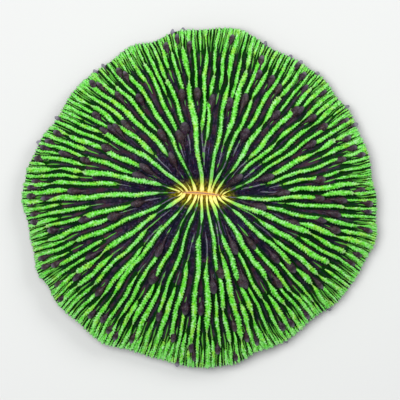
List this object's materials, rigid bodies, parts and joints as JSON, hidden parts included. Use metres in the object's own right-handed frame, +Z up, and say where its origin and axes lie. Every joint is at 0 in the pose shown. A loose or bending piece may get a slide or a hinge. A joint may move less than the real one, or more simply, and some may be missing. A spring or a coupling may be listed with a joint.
{
  "type": "mushroom coral",
  "caption": "Low domed disc of living coral with toothed ridges fanning from a slit mouth, short tentacles between them, and a flat ring underneath to rest on.",
  "frame": {"origin": "middle of the disc seen from above, on the surface that it rests on", "axes": "+Z up out of the mouth's side of the disc, +X nearly along the mouth's slit, which is the disc's longer way, +Y across it"},
  "size_m": [0.1194, 0.1144, 0.0235],
  "materials": {
    "coral": "moist living tissue over a chalky skeleton: bright green ridge crests, dark purple-brown valleys"
  },
  "bodies": {
    "root": {"mushroom_coral": "coral"}
  },
  "joints": []
}
